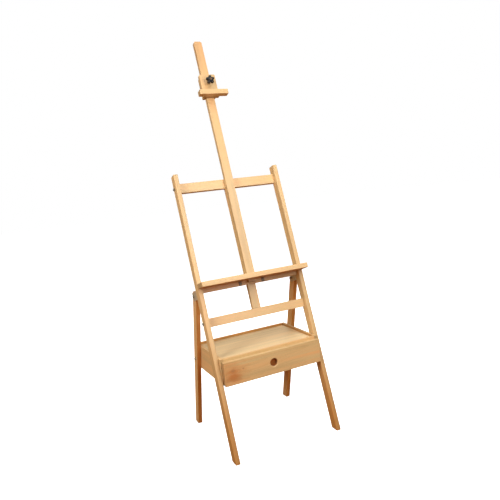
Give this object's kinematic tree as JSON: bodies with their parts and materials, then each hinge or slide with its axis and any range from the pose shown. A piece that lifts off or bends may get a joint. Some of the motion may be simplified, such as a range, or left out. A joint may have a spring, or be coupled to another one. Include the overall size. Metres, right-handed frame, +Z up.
{
  "type": "artist easel",
  "caption": "Freestanding wooden artist easel with a leaning frame, hinged rear legs, a canvas ledge, a sliding mast with a top clamp, and a case with a tray top and a drawer.",
  "frame": {"origin": "on the floor, below the middle of the bounding box", "axes": "+Z up, +X to the painter's right, +Y from the painter towards the rear legs"},
  "size_m": [0.5142, 0.5416, 1.7757],
  "materials": {
    "wood": "clear satin lacquer over pale pine or beech",
    "panel_wood": "thin clear-finished plywood and drawer sides",
    "black_plastic": "moulded black, semi-gloss",
    "dark_steel": "bronze-coloured dark plating",
    "plated_steel": "yellowish zinc plating",
    "brass": "plain turned"
  },
  "bodies": {
    "frame": {"canvas_ledge": "wood", "case_back": "wood", "case_floor": "panel_wood", "case_front_rail": "wood", "case_side_left": "wood", "case_side_right": "wood", "centre_post": "wood", "front_leg_left": "wood", "front_leg_right": "wood", "hinge_bolt_left": "plated_steel", "hinge_bolt_right": "plated_steel", "hinge_bracket_left": "plated_steel", "hinge_bracket_right": "plated_steel", "hinge_screw_lower_left": "plated_steel", "hinge_screw_lower_right": "plated_steel", "hinge_screw_upper_left": "plated_steel", "hinge_screw_upper_right": "plated_steel", "ledge_bolt_left": "dark_steel", "ledge_bolt_right": "dark_steel", "ledge_bracket_left": "dark_steel", "ledge_bracket_right": "dark_steel", "ledge_screw_left": "dark_steel", "ledge_screw_right": "dark_steel", "lower_rail": "wood", "lower_rail_bolt_left": "plated_steel", "lower_rail_bolt_right": "plated_steel", "mast_bolt_lower": "dark_steel", "mast_bolt_upper": "dark_steel", "mast_nut": "plated_steel", "mast_washer_lower": "plated_steel", "mast_washer_upper": "plated_steel", "middle_rail": "wood", "tray_panel": "panel_wood", "upper_rail": "wood", "upper_rail_bolt_left": "plated_steel", "upper_rail_bolt_right": "plated_steel"},
    "mast": {"mast": "wood"},
    "clamp": {"clamp_block": "wood", "clamp_back_plate": "wood", "clamp_lip": "wood", "clamp_insert": "brass", "clamp_screw_lower_left": "plated_steel", "clamp_screw_lower_right": "plated_steel", "clamp_screw_upper_left": "plated_steel", "clamp_screw_upper_right": "plated_steel"},
    "clamp_knob": {"clamp_knob": "black_plastic", "clamp_stud": "plated_steel"},
    "mast_knob": {"mast_knob": "black_plastic"},
    "wing_nut_left": {"hinge_wing_nut_left": "dark_steel"},
    "wing_nut_right": {"hinge_wing_nut_right": "dark_steel"},
    "rear_leg_left": {"rear_leg_left": "wood", "case_bolt_left": "plated_steel"},
    "rear_leg_right": {"rear_leg_right": "wood", "case_bolt_right": "plated_steel"},
    "drawer": {"drawer_front": "wood", "drawer_side_left": "panel_wood", "drawer_side_right": "panel_wood", "drawer_back": "panel_wood", "drawer_floor": "panel_wood"}
  },
  "joints": [
    {"name": "mast_slide", "type": "slide", "parent": "frame", "child": "mast", "axis": [0, 0.2823, 0.9593], "range_m": [0, 0.28]},
    {"name": "clamp_slide", "type": "slide", "parent": "mast", "child": "clamp", "axis": [0, 0.2823, 0.9593], "range_m": [-0.35, 0.16]},
    {"name": "clamp_knob_turn", "type": "hinge", "parent": "clamp", "child": "clamp_knob", "pos_m": [0, 0.17183, 1.5746], "axis": [0, 0.9593, -0.2823], "continuous": true},
    {"name": "mast_knob_turn", "type": "hinge", "parent": "frame", "child": "mast_knob", "pos_m": [0, 0.09874, 1.1067], "axis": [0, 0.9593, -0.2823], "continuous": true},
    {"name": "drawer_slide", "type": "slide", "parent": "frame", "child": "drawer", "axis": [0, -1, 0], "range_m": [0, 0.22]},
    {"name": "leg_fold_left", "type": "hinge", "parent": "frame", "child": "rear_leg_left", "pos_m": [-0.24, -0.00076, 0.65], "axis": [-1, 0, 0], "range_deg": [0, 34.4]},
    {"name": "leg_fold_right", "type": "hinge", "parent": "frame", "child": "rear_leg_right", "pos_m": [0.24, -0.00076, 0.65], "axis": [-1, 0, 0], "range_deg": [0, 34.4]},
    {"name": "wing_nut_left_turn", "type": "hinge", "parent": "frame", "child": "wing_nut_left", "pos_m": [-0.228, -0.00076, 0.65], "axis": [1, 0, 0], "continuous": true},
    {"name": "wing_nut_right_turn", "type": "hinge", "parent": "frame", "child": "wing_nut_right", "pos_m": [0.228, -0.00076, 0.65], "axis": [1, 0, 0], "continuous": true}
  ]
}
